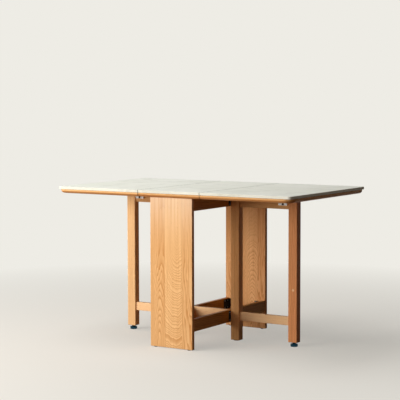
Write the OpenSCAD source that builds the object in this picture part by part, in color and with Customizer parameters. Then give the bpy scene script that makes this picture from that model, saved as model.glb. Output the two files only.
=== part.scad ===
// Gateleg dining table: a fixed centre on two panel legs, two drop leaves on hinges,
// and two gates that swing out under the leaves to carry them.
// X runs along the opened top, Y across it, Z up; the floor is z = 0 under the middle of the top.

/* [Top] */
// Length of the opened top
table_len = 1310; // [1240:10:1500]
// Depth of the top from front edge to back edge
table_depth = 760; // [720:10:900]
// Height of the stone surface above the floor
table_h = 750; // [720:5:780]
// Thickness of the stone slabs
stone_t = 13; // [6:1:15]
// Thickness of the oak boards under the stone
board_t = 19; // [18:1:28]
// Height of the upright lip at the edge of the oak boards
lip_h = 5; // [4:1:12]
// How far the underside of the edge is cut back under the lip
undercut = 17; // [8:1:18]
// Radius of the outer corners of the stone slabs, seen from above
corner_r = 18; // [18:1:60]
// Radius of the outer corners of the oak boards, seen from above
board_corner_r = 44; // [20:1:60]
// Broken edge of the stone slabs
stone_arris = 1; // [0.5:0.5:2]
// Broken edge of the stone slabs along the seams
seam_arris = 1; // [0.4:0.2:1.2]
// Gap at each seam between the centre and a leaf
seam_gap = 2.5; // [2:0.5:4]
// Cut-back under both sides of a seam that makes room for the hinge barrels
seam_chamfer = 6; // [6:0.5:8]

/* [Base] */
// Width of the two panel legs
panel_w = 237; // [200:1:280]
// Thickness of the two panel legs
panel_t = 20; // [18:1:28]
// Distance from the front edge of the top back to the front of the panel leg
panel_inset = 24; // [15:1:60]
// Broken edges at the ends of panel legs, posts and outer legs
end_arris = 1.5; // [0.5:0.5:2.5]
// Rounding of the long edges of the panel legs
panel_round = 3; // [2:0.5:6]
// Thickness of the four base rails and the two cross rails
rail_t = 20; // [18:1:28]
// How far the base rails stand back from the edges of the panel legs
rail_recess = 2; // [1:0.5:6]
// Height of the underside of the lower base rails above the floor
lower_rail_z = 88; // [60:1:160]
// Height of the lower base rails themselves
lower_rail_h = 60; // [56:1:90]
// Height of the upper base rails themselves
upper_rail_h = 60; // [56:1:90]
// Rounding of the long edges of all rails
rail_round = 2; // [1:0.5:4]
// Thickness of the nylon glides under panels and posts
glide_t = 3; // [2:0.5:6]
// Radius of the glides under the panel legs
panel_glide_r = 8; // [6:0.5:9]
// Distance from the edge of a panel leg to the centre of its glide
panel_glide_inset = 24; // [15:1:60]

/* [Gates] */
// Width of a gate post and leg, measured along the opened gate
post_w = 48; // [44:1:56]
// Thickness of a gate post and leg, measured across the opened gate
post_t = 38; // [36:1:46]
// Rounding of the long edges of posts and legs
post_round = 4; // [3:0.5:6]
// Thickness of the gate rails
gate_rail_t = 20; // [16:1:24]
// Height of the underside of the lower gate rail above the floor
gate_lower_z = 100; // [70:1:160]
// Height of the lower gate rail itself
gate_lower_h = 42; // [36:1:60]
// Height of the upper gate rail itself
gate_upper_h = 58; // [46:1:70]
// Room between the top of a gate and the underside of the boards
gate_headroom = 3; // [2.5:0.5:6]
// Room between the turning post and the pivot plate on the base rail
swing_clear = 0.8; // [0.5:0.1:3]
// How far the folded gate stays behind the outer face of the panel leg
gate_setback = 13; // [5:1:60]
// How far the centre of the top reaches past the folded gate
fold_cover = 3.3; // [3:0.1:12]
// Thickness of the tenons on the gate rails
tenon_t = 10; // [8:1:12]
// Shoulder above and below each tenon
tenon_shoulder = 8; // [5:1:12]
// Length of the tenons that enter the outer leg
leg_tenon = 20; // [12:1:26]
// Length of the tenons that enter the pivot post
post_tenon = 9; // [6:0.5:9.5]
// Room round each tenon in its mortise
tenon_clear = 0.1; // [0.05:0.05:0.3]
// Height of the underside of an outer leg above the floor
leg_lift = 21; // [20:1:30]
// Gap between the pad on an outer leg and the leaf that it carries
pad_gap = 0.3; // [0.2:0.1:0.8]
// Distance from the edges of a leg top to the edges of its pad
pad_inset = 5; // [4:1:9]

/* [Pivots] */
// Width of a pivot bracket's plate
plate_w = 44; // [38:1:60]
// Height of a pivot bracket's plate
plate_h = 52; // [40:1:54]
// Thickness of a pivot bracket's plate
plate_t = 3; // [2:0.5:4]
// Corner radius of a pivot bracket's plate
plate_round = 6; // [4:1:8]
// Thickness of the tongue that carries the pivot eye
tongue_t = 3; // [3:0.5:5]
// Radius of the pivot eye and half the width of its tongue
eye_r = 11; // [9:0.5:11.5]
// Room round the tongue in the slot of the post
slot_clear = 0.3; // [0.2:0.05:0.6]
// Radius of the pivot pins
pivot_pin_r = 4; // [3:0.5:5]
// Room round the pivot pins in their bores
pivot_clear = 0.05; // [0.03:0.01:0.08]
// How far the pivot pins run past the middle of a tongue
pivot_pin_over = 30; // [20:1:40]
// Radius of the nylon glide under a pivot post
post_glide_r = 15; // [10:0.5:17]

/* [Leaf hinges] */
// Length of a hinge along the seam
hinge_len = 60; // [40:1:80]
// Radius of the hinge barrels
knuckle_r = 3; // [2.5:0.25:3]
// Height of the hinge line above the underside of the boards
hinge_rise = 2; // [1.5:0.25:3]
// Radius of the hinge pins
hinge_pin_r = 1.5; // [1:0.25:1.75]
// Room round the hinge pins in their barrels
hinge_clear = 0.05; // [0.03:0.01:0.08]
// Gap between neighbouring knuckles
knuckle_gap = 0.3; // [0.2:0.1:0.6]
// Width of each hinge plate from the hinge line to its far edge
hinge_plate_w = 38; // [24:1:46]
// Thickness of the hinge plates
hinge_plate_t = 2; // [1.5:0.25:2]
// Distance along the seam from the end hinges to the strikers of the catches
hinge_margin = 12; // [4:1:60]
// Room between a hinge barrel and the nearest edge of the flat part of its plates
barrel_clear = 0.8; // [0.5:0.1:1.5]
// Room round the hinge plates in their seats
seat_clear = 0.1; // [0.05:0.05:0.4]
// Distance from the edges of a hinge plate to its screws
hinge_screw_edge = 9; // [7:0.5:10]

/* [Catches] */
// Length of a magnetic catch along the gate rail
catch_len = 46; // [40:1:60]
// Height of a magnetic catch
catch_h = 14; // [12:1:20]
// Rounding of the four long edges of a catch
catch_round = 1.5; // [0.5:0.25:3]
// Distance from a catch to the face of the outer leg
catch_offset = 7; // [4:1:80]
// Height from the underside of the upper gate rail to the middle of the catch
catch_rise = 25.5; // [12:0.5:34]
// Width of the black magnet in the middle of a catch
magnet_w = 12; // [10:1:18]
// Wall of the catch above, below and behind the magnet
magnet_wall = 1; // [1:0.5:2]
// How far the magnet stands proud of the catch
magnet_proud = 0.4; // [0.2:0.1:1]
// Length of the striker plate under a leaf
striker_len = 34; // [28:1:50]
// Width of the striker plate
striker_w = 14; // [10:1:20]
// Corner radius of the striker plate
striker_round = 3; // [1:0.5:4]
// Thickness of the striker plate
striker_t = 1.5; // [1:0.25:2]
// Distance from the ends of the striker plate to its screws
striker_screw = 6; // [5:0.5:9]
// Gap between magnet and striker when the gate is folded and the leaf hangs down
catch_gap = 0.4; // [0.3:0.1:1.5]

/* [Feet] */
// Radius of a levelling foot's pad
foot_r = 18; // [16:0.5:19]
// Height of the upright rim of the pad
foot_rim_h = 13; // [8:0.5:15]
// Height of the sloping shoulder between the rim and the collar
foot_shoulder_h = 2.5; // [2:0.5:4]
// Broken lower edge of the pad
foot_arris = 1.5; // [0.5:0.5:2]
// Radius of the hexagonal collar, over its corners
collar_r = 9; // [8:0.5:10]
// Gap between the collar and the outer leg
collar_gap = 0.5; // [0.3:0.1:2]
// Radius of the threaded stem of a levelling foot
stem_r = 5; // [4:0.5:6]
// Length of the stem inside the outer leg
stem_in = 22; // [14:1:30]
// Room round the stem in its bush
stem_clear = 0.05; // [0.03:0.01:0.08]
// Outer radius of the threaded bush in the outer leg
bush_r = 8; // [7.5:0.5:10]
// Length of the threaded bush
bush_len = 25; // [18:1:40]

/* [Fixings] */
// Length of a corner bracket's arm along the base rail
bracket_long = 55; // [35:1:80]
// Length of a corner bracket's arm along the panel leg
bracket_short = 40; // [30:1:60]
// Height of the corner brackets
bracket_h = 50; // [36:1:54]
// Thickness of the corner brackets
bracket_t = 3; // [2:0.5:4]
// Length of both arms of the angles that hold the centre board
angle_arm = 28; // [20:1:36]
// Width of the angles that hold the centre board
angle_w = 24; // [16:1:36]
// Thickness of the angles that hold the centre board
angle_t = 2; // [1.5:0.5:3]
// Distance from the middle of the table to the angles on the base rails
angle_y = 165; // [60:1:240]
// Distance from the corner of such an angle to its screws
angle_screw = 17; // [12:1:20]
// Radius of the shank holes of the screws in brackets
screw_r = 2.2; // [1.8:0.1:2.5]
// Radius of the countersinks of the screws in brackets
screw_head_r = 4; // [3.5:0.25:4.5]
// Distance from the edges of a bracket to its screws
screw_edge = 7; // [6:0.5:9]
// Distance from the corner of a corner bracket to its nearer screws
bracket_screw = 20; // [16:1:24]
// Radius of the shank holes of the screws in hinges, angles, catches and strikers
small_screw_r = 1.7; // [1.5:0.1:2]
// Radius of the countersinks of these smaller screws
small_head_r = 3; // [2.5:0.25:3.25]

/* [Hidden] */
$fn = 48;
oak = "#cf9a63";
oak_end = "#b98450";
stone = "#e4e6dc";
steel = "#1d1d1f";
bright = "#d9dadb";
nylon = "#2b2b2d";

// How far a cutting shape runs past the face that it opens
past = 1;

// Levels
stone_z = table_h - stone_t;
board_z = stone_z - board_t;
gate_top = board_z - gate_headroom;
upper_rail_z = board_z - upper_rail_h;
gate_upper_z = gate_top - gate_upper_h;
upper_tongue_z = upper_rail_z + upper_rail_h/2;
lower_tongue_z = lower_rail_z + lower_rail_h/2;

// Base, seen from above
panel_y = table_depth/2 - panel_inset;
panel_back_y = panel_y - panel_t;
rail_x = panel_w/2 - rail_recess;
rail_back_x = rail_x - rail_t;

// A post clears the pivot plate when its rounded corner swings past it
post_swing_r = sqrt(pow(post_w/2 - post_round, 2) + pow(post_t/2 - post_round, 2)) + post_round;
pivot_x = rail_x + plate_t + swing_clear + post_swing_r;

// The outer leg folds to just inside the outer face of the back panel leg
leg_x = pivot_x + panel_y - gate_setback - post_w/2;
gate_rail_x0 = pivot_x + post_w/2;
gate_rail_x1 = leg_x - post_w/2;

// Top
center_half = pivot_x + post_t/2 + fold_cover;
leaf_x0 = center_half + seam_gap;
leaf_x1 = table_len/2;
half_depth = table_depth/2;
bevel_h = board_t - lip_h;

// The line that a leaf turns about
hinge_x = center_half + seam_gap/2;
hinge_z = board_z + hinge_rise;

// Catches: beside the outer leg, on the face of the gate rail that looks at the hanging leaf
// when the gate is folded. A catch reaches from its rail to the striker under that leaf.
catch_x = gate_rail_x1 - catch_offset - catch_len/2;
catch_z = gate_upper_z + catch_rise;
hung_face_x = hinge_x - hinge_rise - striker_t;
catch_depth = hung_face_x - catch_gap - magnet_proud - pivot_x - gate_rail_t/2;
striker_x = hinge_x + hinge_z - catch_z;
striker_y = catch_x - pivot_x;

// Hinges: one in the middle of a seam and one near each end, clear of the strikers
hinge_y = striker_y - striker_len/2 - hinge_margin - hinge_len/2;
hinge_places = [-hinge_y, 0, hinge_y];
knuckles = 5;
knuckle_pitch = hinge_len/knuckles;
plate_start = knuckle_r + barrel_clear;

// A rectangle with rounded corners, centred on the origin
module rounded(w, h, r) {
    square([w - 2*r, h], center = true);
    square([w, h - 2*r], center = true);
    for (sx = [-1, 1], sy = [-1, 1])
        translate([sx*(w/2 - r), sy*(h/2 - r)]) circle(r = r);
}

// A rail that runs along Y, centred on x and y, with its underside at z
module rail_along_y(x, z, h, len, t, r) {
    translate([x, len/2, z + h/2]) rotate([90, 0, 0])
        linear_extrude(len) rounded(t, h, r);
}

// A rail that runs along X from x0 to x1, centred on Y, with its underside at z
module rail_along_x(x0, x1, z, h, t, r) {
    translate([x0, 0, z + h/2]) rotate([90, 0, 90])
        linear_extrude(x1 - x0) rounded(t, h, r);
}

// What breaks the four edges of an upright piece's end, centred on the end
module end_cuts(w, t) {
    side = end_arris*sqrt(2);
    for (s = [-1, 1]) {
        translate([s*w/2, 0, 0]) rotate([0, 45, 0])
            cube([side, t + 2*past, side], center = true);
        translate([0, s*t/2, 0]) rotate([45, 0, 0])
            cube([w + 2*past, side, side], center = true);
    }
}

// A countersunk screw hole that goes down from a face at z = 0 through a thickness t
module screw_hole(r, head_r, t) {
    translate([0, 0, -t - past]) cylinder(r = r, h = t + 2*past);
    translate([0, 0, r - head_r]) cylinder(r1 = r, r2 = head_r + past, h = head_r - r + past);
}

// Mirrors its children to the left side of the table
module left() {
    mirror([1, 0, 0]) children();
}

// Edge profiles of the top: x = 0 is the outer edge and the solid lies on its negative side
bevel_steps = 4;
board_edge = concat(
    [[-board_corner_r, board_t], [-board_corner_r, 0]],
    [for (i = [0:bevel_steps]) let (a = 90*i/bevel_steps)
        [-undercut*(1 - sin(a)), bevel_h*(1 - cos(a))]],
    [[0, board_t]]
);
stone_edge = [
    [-corner_r, 0], [-stone_arris, 0], [0, stone_arris],
    [0, stone_t - stone_arris], [-stone_arris, stone_t], [-corner_r, stone_t]
];

// A straight run of an edge profile along the front and back edges, from x0 to x1
module long_edges(profile, x0, x1) {
    for (s = [0, 1]) mirror([0, s, 0])
        translate([x0, half_depth, 0]) rotate([90, 0, 90])
            linear_extrude(x1 - x0) polygon(profile);
}

// A slab of a leaf: plain at the seam, with the edge profile on its three outer sides,
// which meet in corners of radius r
module leaf_slab(profile, t, r) {
    xr = leaf_x1 - r;
    yr = half_depth - r;
    translate([leaf_x0, -yr, 0]) cube([xr - leaf_x0, 2*yr, t]);
    long_edges(profile, leaf_x0, xr);
    translate([leaf_x1, yr, 0]) rotate([90, 0, 0]) linear_extrude(2*yr) polygon(profile);
    for (s = [0, 1]) mirror([0, s, 0])
        translate([xr, yr, 0]) rotate_extrude(angle = 90)
            polygon([for (p = profile) [max(r + p[0], 0), p[1]]]);
}

// A slab of the centre: plain at both seams, with the edge profile front and back,
// whose inner end lies r from the edge
module center_slab(profile, t, r) {
    yr = half_depth - r;
    translate([-center_half, -yr, 0]) cube([2*center_half, 2*yr, t]);
    long_edges(profile, -center_half, center_half);
}

// The cut along the lower edge of a board at the seam; side is 1 for a leaf, -1 for the centre
module seam_cut(side) {
    edge = side > 0 ? leaf_x0 : -center_half;
    translate([edge, half_depth + past, 0]) rotate([90, 0, 0])
        linear_extrude(table_depth + 2*past)
            polygon([[-past, -past], [seam_chamfer + past, -past], [-past, seam_chamfer + past]]);
}

// The cut that breaks the upper edge of a stone slab along the seam at x = edge
module seam_break(edge) {
    side = seam_arris*sqrt(2);
    translate([edge, 0, stone_t]) rotate([0, 45, 0])
        cube([side, table_depth + 2*past, side], center = true);
}

// The shallow seats of the hinge plates in the underside of a board
module hinge_seats() {
    reach = hinge_plate_w + seat_clear;
    for (y = hinge_places)
        translate([hinge_x, y - hinge_len/2 - seat_clear, -past])
            cube([reach, hinge_len + 2*seat_clear, past + hinge_plate_t]);
}

// One half of a hinge on the right seam, on the +X side of the hinge line.
// It owns the knuckles whose number is even or odd, as first says.
module hinge_half(first) {
    plate_x = hinge_plate_w - plate_start;
    screw_y = hinge_len/2 - hinge_screw_edge;
    screw_near = plate_start + hinge_screw_edge;
    screw_far = hinge_plate_w - hinge_screw_edge;
    difference() {
        union() {
            translate([plate_start, -hinge_len/2, -hinge_rise])
                cube([plate_x, hinge_len, hinge_plate_t]);
            for (i = [first:2:knuckles - 1]) {
                y0 = -hinge_len/2 + i*knuckle_pitch + knuckle_gap/2;
                len = knuckle_pitch - knuckle_gap;
                translate([0, y0, 0]) rotate([-90, 0, 0]) cylinder(r = knuckle_r, h = len);
                translate([0, y0, -hinge_rise]) cube([plate_start + past, len, hinge_plate_t]);
            }
        }
        translate([0, hinge_len/2 + past, 0]) rotate([90, 0, 0])
            cylinder(r = hinge_pin_r + hinge_clear, h = hinge_len + 2*past);
        for (s = [-1:1])
            translate([s == 0 ? screw_far : screw_near, s*screw_y, -hinge_rise])
                rotate([180, 0, 0]) screw_hole(small_screw_r, small_head_r, hinge_plate_t);
    }
}

// Centre board, with its seats for the hinge plates
module center_board() {
    color(oak) translate([0, 0, board_z]) difference() {
        center_slab(board_edge, board_t, board_corner_r);
        for (s = [0, 1]) mirror([s, 0, 0]) {
            seam_cut(-1);
            translate([-2*hinge_x, 0, 0]) hinge_seats();
        }
    }
}

module center_stone() {
    color(stone) translate([0, 0, stone_z]) difference() {
        center_slab(stone_edge, stone_t, corner_r);
        for (s = [-1, 1]) seam_break(s*center_half);
    }
}

// Drop leaves
module leaf_board() {
    color(oak) translate([0, 0, board_z]) difference() {
        leaf_slab(board_edge, board_t, board_corner_r);
        seam_cut(1);
        hinge_seats();
    }
}

module leaf_stone() {
    color(stone) translate([0, 0, stone_z]) difference() {
        leaf_slab(stone_edge, stone_t, corner_r);
        seam_break(leaf_x0);
    }
}

module leaf_hinge_plates() {
    color(steel) for (y = hinge_places)
        translate([hinge_x, y, hinge_z]) hinge_half(1);
}

module center_hinge_plates() {
    color(steel) for (y = hinge_places)
        translate([hinge_x, y, hinge_z]) mirror([1, 0, 0]) hinge_half(0);
}

module hinge_pins() {
    color(bright) for (y = hinge_places)
        translate([hinge_x, y - hinge_len/2, hinge_z]) rotate([-90, 0, 0])
            cylinder(r = hinge_pin_r, h = hinge_len);
}

// Panel legs
module panel_leg() {
    color(oak) translate([0, (panel_y + panel_back_y)/2, glide_t]) difference() {
        linear_extrude(board_z - glide_t) rounded(panel_w, panel_t, panel_round);
        end_cuts(panel_w, panel_t);
    }
}

module panel_glides() {
    color(nylon) for (sx = [-1, 1], sy = [-1, 1])
        translate([sx*(panel_w/2 - panel_glide_inset), sy*(panel_y - panel_t/2), 0])
            cylinder(r = panel_glide_r, h = glide_t);
}

// Base rails and cross rails
module upper_rail() {
    color(oak) rail_along_y(rail_x - rail_t/2, upper_rail_z, upper_rail_h,
        2*panel_back_y, rail_t, rail_round);
}

module lower_rail() {
    color(oak) rail_along_y(rail_x - rail_t/2, lower_rail_z, lower_rail_h,
        2*panel_back_y, rail_t, rail_round);
}

module upper_cross_rail() {
    color(oak) rail_along_x(-rail_back_x, rail_back_x, upper_rail_z, upper_rail_h,
        rail_t, rail_round);
}

module lower_cross_rail() {
    color(oak) rail_along_x(-rail_back_x, rail_back_x, lower_rail_z, lower_rail_h,
        rail_t, rail_round);
}

// Steel angles that join the base rails to the panel legs, centred on the height of a rail
module corner_brackets(z) {
    rise = bracket_h/2 - screw_edge;
    color(steel) for (sx = [0, 1], sy = [0, 1]) mirror([sx, 0, 0]) mirror([0, sy, 0])
        translate([rail_back_x, panel_back_y, z]) difference() {
            union() {
                translate([-bracket_t, -bracket_long, -bracket_h/2])
                    cube([bracket_t, bracket_long, bracket_h]);
                translate([-bracket_short, -bracket_t, -bracket_h/2])
                    cube([bracket_short, bracket_t, bracket_h]);
            }
            for (s = [-1, 1], y = [bracket_screw, bracket_long - screw_edge])
                translate([-bracket_t, -y, s*rise]) rotate([0, -90, 0])
                    screw_hole(screw_r, screw_head_r, bracket_t);
            for (s = [-1, 1])
                translate([screw_edge - bracket_short, -bracket_t, s*rise]) rotate([90, 0, 0])
                    screw_hole(screw_r, screw_head_r, bracket_t);
        }
}

// A small steel angle under the centre board, against a face that looks along -X
module board_angle() {
    difference() {
        union() {
            translate([-angle_t, -angle_w/2, -angle_arm])
                cube([angle_t, angle_w, angle_arm]);
            translate([-angle_arm, -angle_w/2, -angle_t])
                cube([angle_arm, angle_w, angle_t]);
        }
        translate([-angle_t, 0, -angle_screw]) rotate([0, -90, 0])
            screw_hole(small_screw_r, small_head_r, angle_t);
        translate([-angle_screw, 0, -angle_t]) rotate([180, 0, 0])
            screw_hole(small_screw_r, small_head_r, angle_t);
    }
}

module center_board_angles() {
    color(steel) {
        for (sx = [0, 1], sy = [-1, 1]) mirror([sx, 0, 0])
            translate([rail_back_x, sy*angle_y, board_z]) board_angle();
        for (a = [90, -90]) rotate(a) translate([panel_back_y, 0, board_z]) board_angle();
    }
}

// A pivot bracket: a plate on the base rail with a level tongue that ends in the pivot eye
module pivot_bracket(z) {
    reach = pivot_x - rail_x;
    color(steel) translate([rail_x, 0, z]) difference() {
        union() {
            rotate([90, 0, 90]) linear_extrude(plate_t) rounded(plate_w, plate_h, plate_round);
            translate([0, -eye_r, -tongue_t/2]) cube([reach, 2*eye_r, tongue_t]);
            translate([reach, 0, -tongue_t/2]) cylinder(r = eye_r, h = tongue_t);
        }
        translate([reach, 0, -tongue_t]) cylinder(r = pivot_pin_r + pivot_clear, h = 2*tongue_t);
        for (sy = [-1, 1], sz = [-1, 1])
            translate([plate_t, sy*(plate_w/2 - screw_edge), sz*(plate_h/2 - screw_edge)])
                rotate([0, 90, 0]) screw_hole(screw_r, screw_head_r, plate_t);
    }
}

// The slot that a tongue sweeps in the post as the gate folds a quarter turn to the back;
// its end walls stop the gate
module pivot_slot(z) {
    r = eye_r + slot_clear;
    far = post_w;
    translate([0, 0, z - tongue_t/2 - slot_clear]) linear_extrude(tongue_t + 2*slot_clear) {
        circle(r = r);
        translate([-far, 0]) square([far + r, far]);
        translate([-far, -r]) square([far, far + r]);
    }
}

// A mortise in a post or leg, cut from its face at x = 0 towards +X
module mortise(z, h, depth) {
    w = tenon_t + 2*tenon_clear;
    tall = h - 2*tenon_shoulder + 2*tenon_clear;
    translate([-past, -w/2, z + tenon_shoulder - tenon_clear])
        cube([depth + past + tenon_clear, w, tall]);
}

module gate_mortises(depth) {
    mortise(gate_lower_z, gate_lower_h, depth);
    mortise(gate_upper_z, gate_upper_h, depth);
}

// Pivot post: slotted for the tongues and bored from both ends for the pivot pins
module pivot_post() {
    color(oak_end) translate([pivot_x, 0, 0]) difference() {
        translate([0, 0, glide_t]) linear_extrude(gate_top - glide_t)
            rounded(post_w, post_t, post_round);
        for (z = [glide_t, gate_top]) translate([0, 0, z]) end_cuts(post_w, post_t);
        pivot_slot(lower_tongue_z);
        pivot_slot(upper_tongue_z);
        translate([post_w/2, 0, 0]) mirror([1, 0, 0]) gate_mortises(post_tenon);
        translate([0, 0, glide_t - past])
            cylinder(r = pivot_pin_r + pivot_clear,
                h = lower_tongue_z + pivot_pin_over - glide_t + past);
        translate([0, 0, upper_tongue_z - pivot_pin_over])
            cylinder(r = pivot_pin_r + pivot_clear,
                h = gate_top - upper_tongue_z + pivot_pin_over + past);
    }
}

module pivot_pins() {
    color(bright) translate([pivot_x, 0, 0]) {
        translate([0, 0, glide_t])
            cylinder(r = pivot_pin_r, h = lower_tongue_z + pivot_pin_over - glide_t);
        translate([0, 0, upper_tongue_z - pivot_pin_over])
            cylinder(r = pivot_pin_r, h = gate_top - upper_tongue_z + pivot_pin_over);
    }
}

module post_glide() {
    color(nylon) translate([pivot_x, 0, 0]) cylinder(r = post_glide_r, h = glide_t);
}

// Outer leg: bored from below for the bush of its levelling foot
module outer_leg() {
    color(oak_end) translate([leg_x, 0, 0]) difference() {
        translate([0, 0, leg_lift]) linear_extrude(gate_top - leg_lift)
            rounded(post_w, post_t, post_round);
        for (z = [leg_lift, gate_top]) translate([0, 0, z]) end_cuts(post_w, post_t);
        translate([-post_w/2, 0, 0]) gate_mortises(leg_tenon);
        translate([0, 0, leg_lift - past]) cylinder(r = bush_r, h = bush_len + past);
    }
}

// A gate rail with a tenon at each end
module gate_rail(z, h) {
    tenon_h = h - 2*tenon_shoulder;
    color(oak) {
        rail_along_x(gate_rail_x0, gate_rail_x1, z, h, gate_rail_t, rail_round);
        translate([gate_rail_x0 - post_tenon, -tenon_t/2, z + tenon_shoulder])
            cube([gate_rail_x1 - gate_rail_x0 + post_tenon + leg_tenon, tenon_t, tenon_h]);
    }
}

module leg_pad() {
    color(nylon) translate([leg_x, 0, gate_top])
        linear_extrude(gate_headroom - pad_gap)
            rounded(post_w - 2*pad_inset, post_t - 2*pad_inset, post_round);
}

// Magnetic catch: a moulded block with the magnet in its middle and a screw at each end
module catch_body() {
    screw_x = (magnet_w + catch_len)/4;
    pocket_h = catch_h - 2*magnet_wall;
    color(bright) translate([catch_x, -gate_rail_t/2, catch_z]) rotate([90, 0, 0])
        difference() {
            linear_extrude(catch_depth) rounded(catch_len, catch_h, catch_round);
            translate([-magnet_w/2, -pocket_h/2, magnet_wall])
                cube([magnet_w, pocket_h, catch_depth]);
            for (s = [-1, 1]) translate([s*screw_x, 0, catch_depth])
                screw_hole(small_screw_r, small_head_r, catch_depth);
        }
}

module catch_magnet() {
    magnet_h = catch_h - 2*magnet_wall;
    color(steel) translate([catch_x, -gate_rail_t/2 - catch_depth - magnet_proud, catch_z])
        translate([-magnet_w/2, 0, -magnet_h/2])
            cube([magnet_w, catch_depth + magnet_proud - magnet_wall, magnet_h]);
}

// Striker: a flat steel plate under the leaf, where the catch meets it when the leaf hangs down
module catch_striker() {
    color(bright) translate([striker_x, striker_y, board_z - striker_t]) difference() {
        linear_extrude(striker_t) rounded(striker_w, striker_len, striker_round);
        for (s = [-1, 1]) translate([0, s*(striker_len/2 - striker_screw), 0])
            rotate([180, 0, 0]) screw_hole(small_screw_r, small_head_r, striker_t);
    }
}

// Threaded bush of the levelling foot
module foot_bush() {
    color(bright) translate([leg_x, 0, leg_lift]) difference() {
        cylinder(r = bush_r, h = bush_len);
        translate([0, 0, -past]) cylinder(r = stem_r + stem_clear, h = bush_len + 2*past);
    }
}

// Levelling foot: thick pad with a sloping shoulder, hexagonal collar and threaded stem
module levelling_foot() {
    collar_z = foot_rim_h + foot_shoulder_h;
    mid_r = (foot_r + collar_r)/2;
    color(nylon) translate([leg_x, 0, 0]) {
        rotate_extrude() polygon([
            [0, 0], [foot_r - foot_arris, 0], [foot_r, foot_arris], [foot_r, foot_rim_h],
            [mid_r, foot_rim_h + foot_shoulder_h/2], [collar_r, collar_z], [0, collar_z]
        ]);
        translate([0, 0, collar_z])
            cylinder(r = collar_r, h = leg_lift - collar_gap - collar_z, $fn = 6);
        cylinder(r = stem_r, h = leg_lift + stem_in);
    }
}

mirror([0, 1, 0]) panel_leg();  // front_panel
panel_leg();  // back_panel
left() upper_rail();  // upper_rail_left
upper_rail();  // upper_rail_right
left() lower_rail();  // lower_rail_left
lower_rail();  // lower_rail_right
upper_cross_rail();
lower_cross_rail();
center_board();
center_stone();
panel_glides();
corner_brackets(upper_rail_z + upper_rail_h/2);  // upper_corner_brackets
corner_brackets(lower_rail_z + lower_rail_h/2);  // lower_corner_brackets
center_board_angles();
left() pivot_bracket(upper_tongue_z);  // upper_pivot_bracket_left
pivot_bracket(upper_tongue_z);  // upper_pivot_bracket_right
left() pivot_bracket(lower_tongue_z);  // lower_pivot_bracket_left
pivot_bracket(lower_tongue_z);  // lower_pivot_bracket_right
left() catch_striker();  // catch_striker_left
catch_striker();  // catch_striker_right
left() center_hinge_plates();  // center_hinge_plates_left
center_hinge_plates();  // center_hinge_plates_right
left() hinge_pins();  // hinge_pins_left
hinge_pins();  // hinge_pins_right
left() leaf_board();  // leaf_board_left
leaf_board();  // leaf_board_right
left() leaf_stone();  // leaf_stone_left
leaf_stone();  // leaf_stone_right
left() leaf_hinge_plates();  // leaf_hinge_plates_left
leaf_hinge_plates();  // leaf_hinge_plates_right
left() pivot_post();  // pivot_post_left
pivot_post();  // pivot_post_right
left() outer_leg();  // outer_leg_left
outer_leg();  // outer_leg_right
left() gate_rail(gate_upper_z, gate_upper_h);  // gate_upper_rail_left
gate_rail(gate_upper_z, gate_upper_h);  // gate_upper_rail_right
left() gate_rail(gate_lower_z, gate_lower_h);  // gate_lower_rail_left
gate_rail(gate_lower_z, gate_lower_h);  // gate_lower_rail_right
left() pivot_pins();  // pivot_pins_left
pivot_pins();  // pivot_pins_right
left() post_glide();  // post_glide_left
post_glide();  // post_glide_right
left() leg_pad();  // leg_pad_left
leg_pad();  // leg_pad_right
left() catch_body();  // catch_body_left
catch_body();  // catch_body_right
left() catch_magnet();  // catch_magnet_left
catch_magnet();  // catch_magnet_right
left() foot_bush();  // foot_bush_left
foot_bush();  // foot_bush_right
left() levelling_foot();  // levelling_foot_left
levelling_foot();  // levelling_foot_right
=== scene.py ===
# Gateleg dining table: oak and stone, with a fixed centre, two drop leaves and two swinging gates.
# Metres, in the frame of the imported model: X along the opened top, Y across it, Z up.
import math
import random
import bmesh
import bpy
from mathutils import Euler, Matrix, Vector


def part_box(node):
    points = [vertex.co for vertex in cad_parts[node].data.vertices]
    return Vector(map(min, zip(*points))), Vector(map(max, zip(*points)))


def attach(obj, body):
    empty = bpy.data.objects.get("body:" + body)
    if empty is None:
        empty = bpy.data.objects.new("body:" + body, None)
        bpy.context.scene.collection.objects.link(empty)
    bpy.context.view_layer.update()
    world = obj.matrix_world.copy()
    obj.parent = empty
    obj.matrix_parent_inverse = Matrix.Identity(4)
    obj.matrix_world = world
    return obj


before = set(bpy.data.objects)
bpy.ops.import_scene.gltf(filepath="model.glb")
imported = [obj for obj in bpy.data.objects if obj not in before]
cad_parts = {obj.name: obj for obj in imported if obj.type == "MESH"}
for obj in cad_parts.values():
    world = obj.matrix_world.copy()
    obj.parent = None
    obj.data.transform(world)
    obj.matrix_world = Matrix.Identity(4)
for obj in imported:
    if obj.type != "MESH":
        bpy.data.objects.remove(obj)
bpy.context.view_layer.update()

# Camera
# It stands to the right of the table's front, a little above the top, far back with a long lens.
# Place, turn and lens were fitted to the photograph's edges in a frame of 400 x 400 pixels.
picture_px, focal_px = 400, 1357.4
camera_place = (3.52465, -5.65624, 1.21368)
camera_down, camera_roll, camera_turn = 0.079438, 0.002142, 0.56507
camera_data = bpy.data.cameras.new("camera")
camera_data.sensor_width = 36
camera_data.lens = focal_px / picture_px * camera_data.sensor_width
camera = bpy.data.objects.new("camera", camera_data)
camera.location = camera_place
camera.rotation_euler = (math.pi / 2 - camera_down, camera_roll, camera_turn)
bpy.context.scene.collection.objects.link(camera)
bpy.context.scene.camera = camera
bpy.context.scene.view_settings.view_transform = "Standard"


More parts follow.
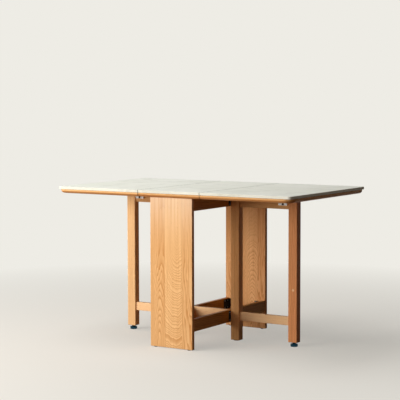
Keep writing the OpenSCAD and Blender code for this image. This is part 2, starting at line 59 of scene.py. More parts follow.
# Floor and surroundings
# A plain pale floor that fades into a plain pale room. The light that the floor throws back at
# the table is dull and warm, so the table's shaded sides stay deep.
def node(tree, kind, inputs=None, **settings):
    """A new node: settings are its properties, inputs are numbers, colours or outputs of other nodes."""
    made = tree.nodes.new(kind)
    for name, value in settings.items():
        setattr(made, name, value)
    for name, value in (inputs or {}).items():
        if isinstance(value, bpy.types.NodeSocket):
            tree.links.new(value, made.inputs[name])
        else:
            made.inputs[name].default_value = value
    return made


def maths(tree, operation, *values):
    """The output of a Math node."""
    return node(tree, "ShaderNodeMath", dict(enumerate(values)), operation=operation).outputs[0]


def spread(tree, value, low, high, to_low=0.0, to_high=1.0):
    """The value, moved from the range low to high into the range to_low to to_high, and kept in it."""
    inputs = {0: value, 1: low, 2: high, 3: to_low, 4: to_high}
    return node(tree, "ShaderNodeMapRange", inputs).outputs[0]


def blended(tree, factor, first, second, how="MIX"):
    """Two colours mixed by a factor."""
    inputs = {0: factor, 6: first, 7: second}
    return node(tree, "ShaderNodeMix", inputs, data_type="RGBA", blend_type=how).outputs[2]


def paint(red, green, blue):
    """A colour written as sRGB from 0 to 255, in the linear values that shaders take."""
    parts = [value / 255 for value in (red, green, blue)]
    linear = [p / 12.92 if p <= 0.04045 else ((p + 0.055) / 1.055) ** 2.4 for p in parts]
    return (*linear, 1.0)


def seen_directly(tree):
    """1 for what the camera sees, also in gloss or through glass, and 0 for light that falls on things."""
    path = node(tree, "ShaderNodeLightPath").outputs
    seen = maths(tree, "MAXIMUM", path["Is Camera Ray"], path["Is Glossy Ray"])
    return maths(tree, "MAXIMUM", seen, path["Is Transmission Ray"])


def new_piece(name, bm, material):
    """A finished piece: a bmesh made an object at the origin, with its place in its mesh."""
    bmesh.ops.recalc_face_normals(bm, faces=bm.faces)
    mesh = bpy.data.meshes.new(name)
    bm.to_mesh(mesh)
    bm.free()
    mesh.materials.append(material)
    piece = bpy.data.objects.new(name, mesh)
    bpy.context.scene.collection.objects.link(piece)
    return piece


room_pale = paint(238, 236, 229)
fill_colour, fill_strength = paint(230, 198, 164), 0.06
floor_pale, floor_bounce = paint(226, 222, 214), paint(118, 88, 64)
floor_glow = 0.5
floor_r, floor_clear_r, floor_faded_r = 30, 0.9, 3.0

world = bpy.data.worlds.new("room")
world.use_nodes = True
tree = world.node_tree
tree.nodes.clear()
fill = node(tree, "ShaderNodeBackground", {"Color": fill_colour, "Strength": fill_strength})
pale = node(tree, "ShaderNodeBackground", {"Color": room_pale, "Strength": 1.0})
room = node(tree, "ShaderNodeMixShader", {0: seen_directly(tree), 1: fill.outputs[0], 2: pale.outputs[0]})
node(tree, "ShaderNodeOutputWorld", {"Surface": room.outputs[0]})
bpy.context.scene.world = world

floor_paint = bpy.data.materials.new("floor")
floor_paint.use_nodes = True
tree = floor_paint.node_tree
tree.nodes.clear()
seen = seen_directly(tree)
place = node(tree, "ShaderNodeTexCoord").outputs["Object"]
distance = node(tree, "ShaderNodeVectorMath", {0: place}, operation="LENGTH").outputs["Value"]
fade = spread(tree, distance, floor_clear_r, floor_faded_r, floor_glow, 1.0)
ground = node(tree, "ShaderNodeBsdfDiffuse", {"Color": blended(tree, seen, floor_bounce, floor_pale)})
faded = node(tree, "ShaderNodeEmission", {"Color": room_pale, "Strength": 1.0})
share = maths(tree, "MULTIPLY", seen, fade)
mixed = node(tree, "ShaderNodeMixShader", {0: share, 1: ground.outputs[0], 2: faded.outputs[0]})
node(tree, "ShaderNodeOutputMaterial", {"Surface": mixed.outputs[0]})

bm = bmesh.new()
bmesh.ops.create_circle(bm, cap_ends=True, radius=floor_r, segments=96)
new_piece("floor", bm, floor_paint)


# Light
# A broad soft window light from the left and front, a weaker one from above, and a faint one from
# straight in front. The sides that face right stay in shade, as they do in the photograph.
def area_light(name, place, target, size, power, colour):
    """A rectangular lamp at place that shines toward target and isn't seen itself, nor in gloss."""
    data = bpy.data.lights.new(name, "AREA")
    data.shape = "RECTANGLE"
    data.size, data.size_y = size
    data.energy = power
    data.color = colour[:3]
    lamp = bpy.data.objects.new(name, data)
    lamp.location = place
    aim = Vector(target) - Vector(place)
    lamp.rotation_euler = aim.to_track_quat("-Z", "Y").to_euler()
    lamp.visible_camera = False
    lamp.visible_glossy = False
    bpy.context.scene.collection.objects.link(lamp)


area_light("window_light", place=(-2.3, -3.3, 1.18), target=(0, 0, 0.5), size=(3.0, 1.9),
           power=158, colour=paint(255, 250, 242))
area_light("ceiling_light", place=(-1.1, -0.5, 3.3), target=(0, 0, 0.7), size=(2.4, 2.4),
           power=75, colour=paint(252, 250, 250))
area_light("front_light", place=(-0.3, -3.5, 1.0), target=(0.1, 0, 0.4), size=(1.2, 0.6),
           power=18, colour=paint(255, 246, 236))


# Panel legs
# Upright boards under the front and back edges, each glued up from three staves of flat-sawn oak
# and oiled. Where a tree's middle runs out through a stave, its rings show as nested arches. The
# upper end of the front one carries a painted sheen, pale streaks that stand for a reflection,
# and the back one carries painted shade, darker toward the top where the table top shades it.
def finish_node(name, material):
    """Gives a CAD node its material."""
    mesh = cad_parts[name].data
    mesh.materials.clear()
    mesh.materials.append(material)


def shader_of(material):
    """The main shader of a material."""
    return material.node_tree.nodes["Principled BSDF"]


GRAIN_TURN = {
    "x": (0, -math.pi / 2, 0),
    "y": (math.pi / 2, 0, 0),
    "z": (0, 0, 0),
    "panel": (0, 0, math.pi / 2),
}


def along_grain(tree, name, grain):
    """Where a point lies from the middle of a CAD node: outward, across and along its fibres."""
    turn = Euler(GRAIN_TURN[grain])
    lowest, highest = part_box(name)
    middle = turn.to_matrix() @ ((lowest + highest) / 2)
    place = node(tree, "ShaderNodeTexCoord").outputs["Object"]
    inputs = {"Vector": place, "Rotation": turn, "Location": -middle}
    turned = node(tree, "ShaderNodeMapping", inputs).outputs[0]
    return node(tree, "ShaderNodeSeparateXYZ", {0: turned}).outputs


def tree_rings(tree, sides, along, hearts, drifts, fibre_noise, ring):
    """Growth rings of width ring around the tree's middle: 1 in the open early wood, 0 in the late.
    sides, hearts and drifts each hold two values, outward and across. A slow wander and a fine
    ripple bend the rings, and their width is uneven."""
    wander, ripple = 0.03, 0.0065
    slow = node(tree, "ShaderNodeSeparateXYZ", {0: fibre_noise(7, 2.2, detail=2, output="Color")}).outputs
    fine = node(tree, "ShaderNodeSeparateXYZ", {0: fibre_noise(60, 9, detail=2, output="Color")}).outputs
    squares = []
    for number, (side, heart, drift) in enumerate(zip(sides, hearts, drifts)):
        bent = maths(tree, "MULTIPLY_ADD", slow[number], wander, side)
        bent = maths(tree, "MULTIPLY_ADD", fine[number], ripple, bent)
        heart = maths(tree, "MULTIPLY_ADD", along, drift, heart)
        away = maths(tree, "SUBTRACT", maths(tree, "SUBTRACT", bent, (wander + ripple) / 2), heart)
        squares.append(maths(tree, "POWER", away, 2.0))
    radius = maths(tree, "SQRT", maths(tree, "ADD", *squares))
    unevenness = 2.0
    inputs = {"W": radius, "Scale": 90.0, "Detail": 1.0}
    uneven = node(tree, "ShaderNodeTexNoise", inputs, noise_dimensions="1D").outputs[0]
    years = maths(tree, "MULTIPLY_ADD", uneven, unevenness, maths(tree, "DIVIDE", radius, ring))

    # Across one ring the early wood starts sharply and fades into the late wood
    profile = node(tree, "ShaderNodeValToRGB", {0: maths(tree, "FRACT", years)})
    stops = profile.color_ramp.elements
    stops[0].position, stops[0].color = 0.0, (0.35, 0.35, 0.35, 1)
    stops[1].position, stops[1].color = 1.0, (0.0, 0.0, 0.0, 1)
    for position, level in ((0.07, 1.0), (0.30, 0.62), (0.55, 0.18), (0.93, 0.0)):
        stops.new(position).color = (level, level, level, 1)
    return profile.outputs[0]


def oak(name, grain, staves, pale, deep, ring=0.0036, seed=0.0, painted_sheen=0.0, plain_from=None):
    """Gives a CAD node its oiled oak. grain says how the fibres run. Each stave has its far edge,
    the place of its tree's middle (outward, across), how that drifts along the fibres, and its
    tone from 0, pale, to 1, deep. All are measured from the middle of the piece. painted_sheen is
    the strength of a painted sheen on the upper end of a panel, and above plain_from its rings grow faint."""
    material = bpy.data.materials.new(name + "_oak")
    material.use_nodes = True
    tree, shader = material.node_tree, shader_of(material)
    outward, across, along = along_grain(tree, name, grain)
    edges, hearts_out, hearts_across, drifts_out, drifts_across, tones = zip(*staves)
    joints = edges[:-1]
    beyond = [maths(tree, "GREATER_THAN", across, edge) for edge in joints]

    def by_stave(values):
        """The value of the stave that a point lies in."""
        chosen = values[0]
        for mask, value, following in zip(beyond, values, values[1:]):
            chosen = maths(tree, "MULTIPLY_ADD", mask, following - value, chosen)
        return chosen

    # Each stave takes its pattern from another stretch of the fibres
    stretch_apart = 0.7
    shift = by_stave([stretch_apart * number for number in range(len(staves))])
    shifted = maths(tree, "ADD", along, shift)
    fibre = node(tree, "ShaderNodeCombineXYZ", {0: outward, 1: across, 2: shifted}).outputs[0]

    def fibre_noise(often_across, often_along, detail, output="Fac"):
        """Noise that is drawn out along the fibres: how often it changes in a metre across and along."""
        inputs = {"Vector": fibre, "Location": (seed, 2 * seed, 3 * seed),
                  "Scale": (often_across, often_across, often_along)}
        stretched = node(tree, "ShaderNodeMapping", inputs).outputs[0]
        inputs = {"Vector": stretched, "Scale": 1.0, "Detail": detail}
        return node(tree, "ShaderNodeTexNoise", inputs).outputs[output]

    hearts = (by_stave(hearts_out), by_stave(hearts_across))
    drifts = (by_stave(drifts_out), by_stave(drifts_across))
    early = tree_rings(tree, (outward, across), along, hearts, drifts, fibre_noise, ring)
    if plain_from is not None:
        fading_l, faintest, mean = 0.12, 0.28, 0.33
        shown = spread(tree, along, plain_from, plain_from + fading_l, 1.0, faintest)
        early = maths(tree, "MULTIPLY_ADD", maths(tree, "SUBTRACT", early, mean), shown, mean)

    # Open pores, mostly in the early wood, and the slower changes of tone along the fibres
    pore_from, pore_full, late_wood_share = 0.60, 0.72, 0.25
    pores = spread(tree, fibre_noise(1500, 42, detail=1), pore_from, pore_full)
    pores = maths(tree, "MULTIPLY", pores, spread(tree, early, 0.1, 0.9, late_wood_share, 1.0))
    streaks = spread(tree, fibre_noise(110, 2.6, detail=3), 0.3, 0.7)
    broad = spread(tree, fibre_noise(14, 1.4, detail=2), 0.3, 0.7)
    ring_depth, streak_depth, broad_depth, usual_tone = 0.64, 0.32, 0.26, 0.59
    depth = maths(tree, "MULTIPLY_ADD", early, ring_depth, by_stave([tone - usual_tone for tone in tones]))
    depth = maths(tree, "MULTIPLY_ADD", streaks, streak_depth, depth)
    depth = maths(tree, "MULTIPLY_ADD", broad, broad_depth, depth)
    colour = blended(tree, spread(tree, depth, 0.0, 1.0), pale, deep)

    # Dark pores, and thin glue lines between the staves
    pore_share, pore_dark = 0.55, 0.45
    glue_share, glue_full, glue_gone = 0.3, 0.0002, 0.0005
    darker = (*(pore_dark * part for part in deep[:3]), 1.0)
    colour = blended(tree, maths(tree, "MULTIPLY", pores, pore_share), colour, darker)
    for edge in joints:
        off = maths(tree, "ABSOLUTE", maths(tree, "SUBTRACT", across, edge))
        glue = spread(tree, off, glue_full, glue_gone, glue_share, 0.0)
        colour = blended(tree, glue, colour, darker)
    # Painted sheen: the upper end of a panel is washed toward a pale colour in streaks, a painted reflection
    # of the light
    if painted_sheen:
        sheen_from, sheen_full, sheen_colour = 0.08, 0.36, paint(255, 238, 218)
        share = maths(tree, "POWER", spread(tree, along, sheen_from, sheen_full), 2.0)
        share = maths(tree, "MULTIPLY", share, spread(tree, streaks, 0.0, 1.0, painted_sheen, 0.5 * painted_sheen))
        colour = blended(tree, share, colour, sheen_colour)

    wood_roughness, pore_roughness = 0.40, 0.66
    tree.links.new(colour, shader.inputs["Base Color"])
    roughness = spread(tree, pores, 0.0, 1.0, wood_roughness, pore_roughness)
    tree.links.new(roughness, shader.inputs["Roughness"])
    early_wood_sunk = -0.25
    height = maths(tree, "MULTIPLY_ADD", early, early_wood_sunk, maths(tree, "MULTIPLY", pores, -1.0))
    bump = node(tree, "ShaderNodeBump", {"Height": height, "Strength": 0.35, "Distance": 0.0004})
    tree.links.new(bump.outputs[0], shader.inputs["Normal"])
    shader.inputs["Specular IOR Level"].default_value = 0.04
    finish_node(name, material)


def shade_painted_by_height(name, low_z, high_z, at_low, at_high):
    """Paints shade into the oak of a CAD node: lighter toward the floor, darker toward the top, by a factor
    that is given at two heights.
    """
    material = bpy.data.materials[name + "_oak"]
    tree, base = material.node_tree, shader_of(material).inputs["Base Color"]
    place = node(tree, "ShaderNodeTexCoord").outputs["Object"]
    height = node(tree, "ShaderNodeSeparateXYZ", {0: place}).outputs[2]
    factor = spread(tree, height, low_z, high_z, at_low, at_high)
    tree.links.new(blended(tree, 1.0, base.links[0].from_socket, factor, "MULTIPLY"), base)


panel_pale, panel_deep = paint(245, 202, 147), paint(203, 143, 84)
back_pale, back_deep = paint(243, 192, 138), paint(200, 134, 80)
front_staves = (
    (-0.0345, -0.032, -0.058, -0.06, 0.03, 0.57),
    (0.0605, -0.061, 0.030, 0.26, 0.02, 0.43),
    (0.1185, -0.300, 0.160, 0.03, 0.02, 0.61))
back_staves = (
    (-0.0230, -0.050, -0.070, 0.10, 0.02, 0.55),
    (0.0720, -0.060, 0.044, -0.16, 0.02, 0.46),
    (0.1185, -0.280, 0.150, 0.02, 0.03, 0.66))
oak("front_panel", "panel", front_staves, panel_pale, panel_deep, painted_sheen=0.60, plain_from=0.02)
oak("back_panel", "panel", back_staves, back_pale, back_deep, seed=4.0, plain_from=0.03)
# Painted shade: the back panel is darker toward the top, where the table top shades it
shade_painted_by_height("back_panel", low_z=0.05, high_z=0.60, at_low=1.24, at_high=1.04)

# Base rails and cross rails
# Straight-grained oak boards on edge that join the panel legs. The tree's middle lies far away,
# so the rings show as nearly straight lines. The lower cross rail is painted paler, as painted
# light: it stands for the extra light that reaches the low pieces.
rail_pale, rail_deep = paint(218, 166, 97), paint(182, 121, 60)
# Painted light: a paler oak for the low rails, for the extra light that reaches them
painted_light_pale, painted_light_deep = paint(255, 220, 174), paint(250, 192, 138)
rail_grains = {
    "upper_rail_left": "y", "upper_rail_right": "y", "lower_rail_left": "y", "lower_rail_right": "y",
    "upper_cross_rail": "x", "lower_cross_rail": "x",
}
for number, (name, grain) in enumerate(rail_grains.items()):
    stave = (0, 0.5 + 0.1 * number, 0.35, 0.02 + 0.004 * number, 0.01, 0.5)
    light_wood, dark_wood = (painted_light_pale, painted_light_deep) if name == "lower_cross_rail" else (rail_pale, rail_deep)
    oak(name, grain, [stave], light_wood, dark_wood, seed=1.7 * number + 8)

# Top boards
# The boards under the stone are glued up from strips of oak that run along the table. Their
# cut-back undersides carry painted shade, a shade darker, and their edges at the two seams carry
# dark painted shade, for the shadow inside the seams.
strip_w, strips = 0.095, 8
shade_top, shade_fade = 0.0124, 0.002
underside_shade_colour, board_seam_shade_colour = paint(214, 192, 172), paint(70, 42, 22)
seam_x = (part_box("center_board")[1].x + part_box("leaf_board_right")[0].x) / 2
seam_half_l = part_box("center_board")[1].y - 0.0007
board_seam_shade_reach = 0.0016


def in_seam(tree, x, y, reach):
    """1 within reach of the middle of a seam, except at its two ends, and 0 elsewhere."""
    off_seam = maths(tree, "ABSOLUTE", maths(tree, "SUBTRACT", maths(tree, "ABSOLUTE", x), seam_x))
    inside = maths(tree, "LESS_THAN", maths(tree, "ABSOLUTE", y), seam_half_l)
    return maths(tree, "MULTIPLY", inside, maths(tree, "LESS_THAN", off_seam, reach))


dice = random.Random(21)
for name in ("center_board", "leaf_board_left", "leaf_board_right"):
    staves = []
    for number in range(strips):
        edge = (number + 1 - strips / 2) * strip_w
        heart_out, heart_across = dice.uniform(0.05, 0.3), edge + dice.uniform(-0.1, 0.1)
        drift_out, tone = dice.uniform(-0.1, 0.1), dice.uniform(0.35, 0.65)
        staves.append((edge, heart_out, heart_across, drift_out, 0.02, tone))
    oak(name, "x", staves, panel_pale, panel_deep, seed=dice.uniform(0, 50))
    material = bpy.data.materials[name + "_oak"]
    tree, base = material.node_tree, shader_of(material).inputs["Base Color"]
    place = node(tree, "ShaderNodeTexCoord").outputs["Object"]
    x, y, height = node(tree, "ShaderNodeSeparateXYZ", {0: place}).outputs
    # Painted shade: the lower part of each board is darker where its cut-back underside lies in shade, and
    # the seam edges darker still, for the shadow in the seams
    shade_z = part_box(name)[0].z + shade_top
    shade = spread(tree, height, shade_z - shade_fade, shade_z, 1.0, 0.0)
    board_shaded_colour = blended(tree, shade, base.links[0].from_socket, underside_shade_colour, "MULTIPLY")
    board_shaded_colour = blended(tree, in_seam(tree, x, y, board_seam_shade_reach), board_shaded_colour, board_seam_shade_colour)
    tree.links.new(board_shaded_colour, base)

# Stone slabs
# Pale sintered stone, ground to a fine satin, with faint cloudy veins and softly broken edges.
# The edges at the two seams carry dark painted shade below the face, for the shadow inside the seams.
stone_pale, stone_cloud = paint(236, 239, 231), paint(225, 229, 218)
vein_grey, stone_seam_shade_colour = paint(177, 179, 169), paint(44, 42, 38)
bend, vein_half_w, vein_share = 0.35, 0.035, 0.20
stone_seam_shade_reach, seam_shade_depth = 0.0024, 0.0001
stone = bpy.data.materials.new("stone")
stone.use_nodes = True
tree, shader = stone.node_tree, shader_of(stone)
place = node(tree, "ShaderNodeTexCoord").outputs["Object"]
x, y, height = node(tree, "ShaderNodeSeparateXYZ", {0: place}).outputs
cloud = node(tree, "ShaderNodeTexNoise", {"Vector": place, "Scale": 3.2, "Detail": 4.0, "Roughness": 0.55})
bent = node(tree, "ShaderNodeVectorMath", {0: cloud.outputs[1], 1: (bend, bend, bend)}, operation="MULTIPLY")
swirl = node(tree, "ShaderNodeVectorMath", {0: place, 1: bent.outputs[0]}, operation="ADD")
vein_noise = node(tree, "ShaderNodeTexNoise", {"Vector": swirl.outputs[0], "Scale": 4.0, "Detail": 5.0})
ridge = maths(tree, "ABSOLUTE", maths(tree, "SUBTRACT", vein_noise.outputs[0], 0.5))
vein = spread(tree, ridge, 0.0, vein_half_w, vein_share, 0.0)
body = blended(tree, spread(tree, cloud.outputs[0], 0.3, 0.7), stone_pale, stone_cloud)
body = blended(tree, vein, body, vein_grey)
# Painted shade: the seam edges of the slabs are dark below the face, for the shadow inside the seams
below = maths(tree, "LESS_THAN", height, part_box("center_stone")[1].z - seam_shade_depth)
stone_seam_shade_mask = maths(tree, "MULTIPLY", below, in_seam(tree, x, y, stone_seam_shade_reach))
body = blended(tree, stone_seam_shade_mask, body, stone_seam_shade_colour)
grit = node(tree, "ShaderNodeTexNoise", {"Vector": place, "Scale": 900.0, "Detail": 2.0}).outputs[0]
bump = node(tree, "ShaderNodeBump", {"Height": grit, "Strength": 0.06, "Distance": 0.0002})
tree.links.new(body, shader.inputs["Base Color"])
tree.links.new(spread(tree, grit, 0.3, 0.7, 0.44, 0.54), shader.inputs["Roughness"])
tree.links.new(bump.outputs[0], shader.inputs["Normal"])
shader.inputs["Specular IOR Level"].default_value = 0.25
for name in ("center_stone", "leaf_stone_left", "leaf_stone_right"):
    finish_node(name, stone)


# Shade beads
# A thin dark bead lies in the joint between the stone and the wood: a dark piece that paints the
# shadow in that groove. It follows the rounder corners of the boards.
def mottled(name, scale, detail, colours, roughnesses, stretch=None):
    """A material that wanders between two colours and between two roughnesses in fine specks."""
    material = bpy.data.materials.new(name)
    material.use_nodes = True
    tree, shader = material.node_tree, shader_of(material)
    place = node(tree, "ShaderNodeTexCoord").outputs["Object"]
    if stretch:
        place = node(tree, "ShaderNodeMapping", {"Vector": place, "Scale": stretch}).outputs[0]
    specks = node(tree, "ShaderNodeTexNoise", {"Vector": place, "Scale": scale, "Detail": detail}).outputs[0]
    tree.links.new(blended(tree, specks, *colours), shader.inputs["Base Color"])
    tree.links.new(spread(tree, specks, 0.3, 0.7, *roughnesses), shader.inputs["Roughness"])
    return material


# The bead's dark colour paints the shadow in the groove between the stone and the wood
groove_shade = mottled("groove_shade", 240.0, 2.0, (paint(38, 28, 20), paint(62, 48, 36)), (0.42, 0.60))
bead_inset, bead_w, bead_h = 0.0003, 0.0009, 0.0008
bead_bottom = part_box("center_stone")[0].z - 0.0001
board_corner_r = 0.044
past_seam = 0.06


def groove_shade_bead(name, body, first_x, last_x, seams):
    """A bead that follows the outline of a slab from first_x to last_x and ends at its seams."""
    half_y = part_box("center_stone")[1].y - bead_inset
    bm = bmesh.new()
    outline = bmesh.ops.create_grid(bm, x_segments=1, y_segments=1, size=1)["verts"]
    for corner in outline:
        corner.co = (first_x if corner.co.x < 0 else last_x, half_y * corner.co.y, bead_bottom)
    free = [corner for corner in outline if all(abs(corner.co.x - seam) > 2 * past_seam for seam in seams)]
    if free:
        bmesh.ops.bevel(bm, geom=free, offset=board_corner_r - bead_inset, affect="VERTICES", segments=8,
                        profile=0.5, material=-1)
    bmesh.ops.inset_region(bm, faces=bm.faces[:], thickness=bead_w, use_boundary=True, use_even_offset=True)
    inner = max(bm.faces, key=lambda face: face.calc_area())
    bmesh.ops.delete(bm, geom=[inner], context="FACES")
    for seam in seams:
        outward = (1 if seam > (first_x + last_x) / 2 else -1, 0, 0)
        geom = bm.verts[:] + bm.edges[:] + bm.faces[:]
        bmesh.ops.bisect_plane(bm, geom=geom, plane_co=(seam, 0, 0), plane_no=outward, clear_outer=True)
    bmesh.ops.solidify(bm, geom=bm.faces[:], thickness=bead_h)
    lowest = min(vert.co.z for vert in bm.verts)
    bmesh.ops.translate(bm, vec=(0, 0, bead_bottom - lowest), verts=bm.verts)
    bead = new_piece(name, bm, groove_shade)
    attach(bead, body)


for side, sign in (("left", -1), ("right", 1)):
    low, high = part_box("leaf_stone_" + side)
    seam = high.x if sign < 0 else low.x
    outer = low.x + bead_inset if sign < 0 else high.x - bead_inset
    ends = sorted((seam - sign * past_seam, outer))
    groove_shade_bead("groove_shade_bead_" + side, "leaf_" + side, *ends, [seam])
center_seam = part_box("center_stone")[1].x
groove_shade_bead("groove_shade_bead_center", "base", -center_seam - past_seam, center_seam + past_seam,
             [-center_seam, center_seam])

# Gates
# Each gate is a pivot post and an outer leg of rift-sawn oak with straight close lines, joined by two
# rails with tenons. The lower rail is painted paler, as painted light on the low pieces. The outer
# leg on the right is a redder board with a small paler spot in its front, and both uprights there
# carry painted shade, darker toward the top under the leaf.
leg_woods = {
    "pivot_post_left": (paint(240, 190, 134), paint(200, 140, 84)),
    "outer_leg_left": (paint(252, 212, 160), paint(216, 164, 112)),
    "pivot_post_right": (paint(250, 198, 138), paint(200, 136, 78)),
    "outer_leg_right": (paint(231, 165, 114), paint(178, 111, 68)),
}
for number, (name, (light_wood, dark_wood)) in enumerate(leg_woods.items()):
    stave = (0, 0.6, 0.5 + 0.05 * number, 0.012, 0.006 * number, 0.5)
    oak(name, "z", [stave], light_wood, dark_wood, ring=0.0034, seed=2.3 * number + 60)

gate_rail_pale, gate_rail_deep = paint(218, 173, 122), paint(182, 127, 76)
gate_rail_woods = {
    "gate_upper_rail_left": (gate_rail_pale, gate_rail_deep),
    "gate_lower_rail_left": (painted_light_pale, painted_light_deep),
    "gate_upper_rail_right": (gate_rail_pale, gate_rail_deep),
    "gate_lower_rail_right": (painted_light_pale, painted_light_deep),
}
for number, (name, (light_wood, dark_wood)) in enumerate(gate_rail_woods.items()):
    stave = (0, 0.45, 0.4 + 0.07 * number, 0.02, 0.01, 0.5)
    oak(name, "x", [stave], light_wood, dark_wood, seed=3.1 * number + 80)

# A small round paler spot in the front of the right leg
pale_spot_place, pale_spot_r = (0.4715, -0.019, 0.273), 0.0075
pale_spot_share, pale_spot_oak = 0.75, paint(240, 204, 160)
material = bpy.data.materials["outer_leg_right_oak"]
tree, base = material.node_tree, shader_of(material).inputs["Base Color"]
place = node(tree, "ShaderNodeTexCoord").outputs["Object"]
away = node(tree, "ShaderNodeVectorMath", {0: place, 1: pale_spot_place}, operation="DISTANCE").outputs["Value"]
pale_spot = spread(tree, away, 0.6 * pale_spot_r, pale_spot_r, pale_spot_share, 0.0)
tree.links.new(blended(tree, pale_spot, base.links[0].from_socket, pale_spot_oak), base)
# Painted shade: both right uprights are darker toward the top, under the leaf, and lighter toward the floor
shade_painted_by_height("outer_leg_right", low_z=0.05, high_z=0.70, at_low=1.24, at_high=0.82)
shade_painted_by_height("pivot_post_right", low_z=0.35, high_z=0.62, at_low=1.08, at_high=0.84)

# Black steel
# Brackets, angles and hinge plates: bent and cut steel sheet under a fine black powder coat,
# with a faint orange peel in it.
coat_blacks = (paint(22, 18, 16), paint(42, 35, 30))
black_coat = mottled("black_powder_coat", 60.0, 3.0, coat_blacks, (0.40, 0.56))
tree, shader = black_coat.node_tree, shader_of(black_coat)
shader.inputs["Specular IOR Level"].default_value = 0.25
place = node(tree, "ShaderNodeTexCoord").outputs["Object"]
peel = node(tree, "ShaderNodeTexNoise", {"Vector": place, "Scale": 1600.0, "Detail": 2.0}).outputs[0]
bump = node(tree, "ShaderNodeBump", {"Height": peel, "Strength": 0.25, "Distance": 0.0002})
tree.links.new(bump.outputs[0], shader.inputs["Normal"])
for name in ("upper_corner_brackets", "lower_corner_brackets", "center_board_angles",
             "upper_pivot_bracket_left", "upper_pivot_bracket_right", "lower_pivot_bracket_left",
             "lower_pivot_bracket_right", "center_hinge_plates_left", "center_hinge_plates_right",
             "leaf_hinge_plates_left", "leaf_hinge_plates_right"):
    finish_node(name, black_coat)

# Bright steel
# Pins, bushes and the strikers of the catches: zinc-plated steel with a drawn, slightly cloudy
# shine. The bushes are pressed into the legs, and the strikers are screwed under the leaves.
zinc_greys = (paint(208, 208, 206), paint(188, 190, 194))
zinc = mottled("zinc_plate", 140.0, 3.0, zinc_greys, (0.24, 0.40))
shader_of(zinc).inputs["Metallic"].default_value = 1.0
for name in ("hinge_pins_left", "hinge_pins_right", "pivot_pins_left", "pivot_pins_right",
             "foot_bush_left", "foot_bush_right", "catch_striker_left", "catch_striker_right"):
    finish_node(name, zinc)

# Catches
# A glossy white moulded block, screwed to the upper gate rail at both ends, with a dull, finely
# ground black magnet in its middle.
housing_whites = (paint(246, 246, 243), paint(236, 236, 232))
housing = mottled("white_housing", 90.0, 2.0, housing_whites, (0.26, 0.34))
shader = shader_of(housing)
shader.inputs["Coat Weight"].default_value = 1.0
shader.inputs["Coat Roughness"].default_value = 0.06
shader.inputs["Coat IOR"].default_value = 1.9
magnet_blacks = (paint(9, 9, 10), paint(26, 26, 28))
magnet = mottled("magnet", 1.0, 2.0, magnet_blacks, (0.50, 0.68), stretch=(60, 60, 2500))
shader_of(magnet).inputs["Specular IOR Level"].default_value = 0.2
for side in ("left", "right"):
    finish_node("catch_body_" + side, housing)
    finish_node("catch_magnet_" + side, magnet)


# Wood screws
# Zinc-plated countersunk screws with a cross recess hold every bracket, angle, hinge plate, catch
# and striker. Their heads lie just under the faces of what they hold.
def wood_screw(head_r, length):
    """The mesh of a screw whose head looks up from just under z = 0. It is shaped with a head of
    radius 1 and then scaled."""
    arm_l, arm_w = 0.55, 0.13
    recess_taper, recess_depth = 0.8, 0.5
    shank_r, cone_h = 0.54, 0.46
    head_sunk = 0.0001
    tip_z = -length / head_r
    bm = bmesh.new()
    bmesh.ops.create_grid(bm, x_segments=5, y_segments=5, size=1)
    lines = (-1, -arm_l, -arm_w, arm_w, arm_l, 1)
    for vert in bm.verts:
        vert.co.x, vert.co.y = (lines[round((part + 1) * 2.5)] for part in vert.co.xy)
        if vert.is_boundary:
            vert.co.normalize()
    rim = [edge for edge in bm.edges if edge.is_boundary]
    cross = [face for face in bm.faces if min(abs(part) for part in face.calc_center_median().xy) < arm_w
             and face.calc_center_median().length < arm_l]
    recess = bmesh.ops.extrude_face_region(bm, geom=cross)["geom"]
    bmesh.ops.delete(bm, geom=[face for face in cross if face.is_valid], context="FACES")
    for vert in [part for part in recess if isinstance(part, bmesh.types.BMVert)]:
        vert.co = (recess_taper * vert.co.x, recess_taper * vert.co.y, -recess_depth)
    for radius, height in ((shank_r, -cone_h), (shank_r, tip_z + cone_h), (shank_r / 2, tip_z)):
        made = bmesh.ops.extrude_edge_only(bm, edges=rim)["geom"]
        rim = [part for part in made if isinstance(part, bmesh.types.BMEdge)]
        for vert in [part for part in made if isinstance(part, bmesh.types.BMVert)]:
            flat = vert.co.xy.normalized() * radius
            vert.co = (flat.x, flat.y, height)
    tip = list({vert for edge in rim for vert in edge.verts})
    bmesh.ops.pointmerge(bm, verts=tip, merge_co=(0, 0, tip_z))
    bmesh.ops.scale(bm, vec=(head_r, head_r, head_r), verts=bm.verts)
    bmesh.ops.translate(bm, vec=(0, 0, -head_sunk), verts=bm.verts)
    mesh = bpy.data.meshes.new("screw_shape")
    bm.to_mesh(mesh)
    bm.free()
    return mesh


bracket_screw = wood_screw(head_r=0.00385, length=0.016)
plate_screw = wood_screw(head_r=0.00285, length=0.014)
catch_screw = wood_screw(head_r=0.00285, length=0.020)
striker_screw = wood_screw(head_r=0.00285, length=0.012)
seats = {"base": [], "leaf_left": [], "leaf_right": [], "gate_left": [], "gate_right": []}


def seat(body, shape, place, looks):
    """Puts a screw in the list of a body: the middle of its head and the way that the head looks."""
    seats[body].append((shape, Vector(place), Vector(looks)))


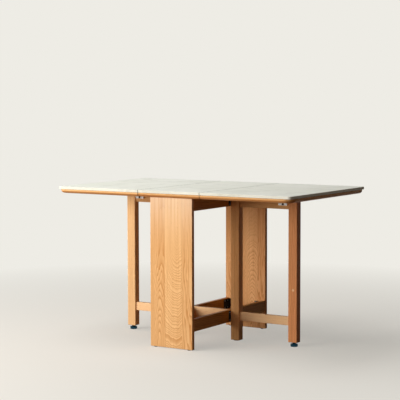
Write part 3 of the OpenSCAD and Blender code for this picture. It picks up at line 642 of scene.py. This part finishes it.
screw_edge, bracket_t, angle_t = 0.007, 0.003, 0.002
long_arm, short_arm, first_in = 0.055, 0.040, 0.020
pivot_screw_y, pivot_screw_z = 0.015, 0.019
for level in ("upper", "lower"):
    low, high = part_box(level + "_corner_brackets")
    screw_z = (low.z + screw_edge, high.z - screw_edge)
    middle_z = (screw_z[0] + screw_z[1]) / 2
    long_arm_y = (high.y - first_in, high.y - long_arm + screw_edge)
    short_arm_x = high.x - short_arm + screw_edge
    for side, sign in (("left", -1), ("right", 1)):
        bracket_low, bracket_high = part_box(level + "_pivot_bracket_" + side)
        back_x = bracket_low.x if sign > 0 else bracket_high.x
        for row in (-1, 1):
            for end in (-1, 1):
                place = (back_x + sign * bracket_t, end * pivot_screw_y, middle_z + row * pivot_screw_z)
                seat("base", bracket_screw, place, (sign, 0, 0))
        for z in screw_z:
            for end in (-1, 1):
                for y in long_arm_y:
                    seat("base", bracket_screw, (sign * (high.x - bracket_t), end * y, z), (-sign, 0, 0))
                place = (sign * short_arm_x, end * (high.y - bracket_t), z)
                seat("base", bracket_screw, place, (0, -end, 0))

low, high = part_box("center_board_angles")
angle_arm, angle_y = 0.017, 0.165
for sign in (-1, 1):
    for y in (-angle_y, angle_y):
        seat("base", plate_screw, (sign * (high.x - angle_t), y, high.z - angle_arm), (-sign, 0, 0))
        seat("base", plate_screw, (sign * (high.x - angle_arm), y, high.z - angle_t), (0, 0, -1))
    seat("base", plate_screw, (0, sign * (high.y - angle_t), high.z - angle_arm), (0, -sign, 0))
    seat("base", plate_screw, (0, sign * (high.y - angle_arm), high.z - angle_t), (0, 0, -1))

hinge_half_l, hinge_edge, hinge_step = 0.030, 0.009, 0.0162
catch_screw_in, striker_screw_in = 0.0085, 0.006
board_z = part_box("center_board")[0].z
for side, sign in (("left", -1), ("right", 1)):
    for plates, body, way in (("leaf", "leaf_" + side, sign), ("center", "base", -sign)):
        low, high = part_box(f"{plates}_hinge_plates_{side}")
        far_x = (high.x if way > 0 else low.x) - way * hinge_edge
        for hinge_y in (low.y + hinge_half_l, 0, high.y - hinge_half_l):
            seat(body, plate_screw, (far_x, hinge_y, board_z), (0, 0, -1))
            for end in (-1, 1):
                place = (far_x - way * hinge_step, hinge_y + end * (hinge_half_l - hinge_edge), board_z)
                seat(body, plate_screw, place, (0, 0, -1))
    low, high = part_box("catch_body_" + side)
    for x in (low.x + catch_screw_in, high.x - catch_screw_in):
        seat("gate_" + side, catch_screw, (x, low.y, (low.z + high.z) / 2), (0, -1, 0))
    low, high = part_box("catch_striker_" + side)
    for y in (low.y + striker_screw_in, high.y - striker_screw_in):
        seat("leaf_" + side, striker_screw, ((low.x + high.x) / 2, y, low.z), (0, 0, -1))

# Each screw stopped at another turn
dice = random.Random(5)
for body, places in seats.items():
    bm = bmesh.new()
    for shape, place, looks in places:
        known = set(bm.verts)
        bm.from_mesh(shape)
        added = [vert for vert in bm.verts if vert not in known]
        turned = Matrix.Rotation(dice.uniform(0, math.pi), 4, "Z")
        aimed = Vector((0, 0, 1)).rotation_difference(looks).to_matrix().to_4x4()
        bmesh.ops.transform(bm, matrix=Matrix.Translation(place) @ aimed @ turned, verts=added)
    joined = new_piece("screws_" + body, bm, zinc)
    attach(joined, body)
for shape in (bracket_screw, plate_screw, catch_screw, striker_screw):
    bpy.data.meshes.remove(shape)

# Glides, pads and levelling feet
# Glides and pads are dull black nylon, faintly grained, tacked or pressed on. The moulded feet
# are glossier, black with a blue cast, and screw into bushes in the legs. Their blue gloss is a
# painted reflection, from a blue specular tint.
nylon = mottled("nylon", 700.0, 2.0, (paint(38, 38, 41), paint(54, 54, 58)), (0.5, 0.64))
foot_blacks = (paint(8, 22, 30), paint(16, 36, 46))
moulded_foot = mottled("moulded_foot", 300.0, 2.0, foot_blacks, (0.10, 0.18))
shader = shader_of(moulded_foot)
# Painted reflection: a blue specular tint gives the feet a blue glint
shader.inputs["Specular Tint"].default_value = paint(96, 200, 250)
shader.inputs["IOR"].default_value = 1.85
for side in ("left", "right"):
    finish_node("post_glide_" + side, nylon)
    finish_node("leg_pad_" + side, nylon)
    finish_node("levelling_foot_" + side, moulded_foot)
finish_node("panel_glides", nylon)
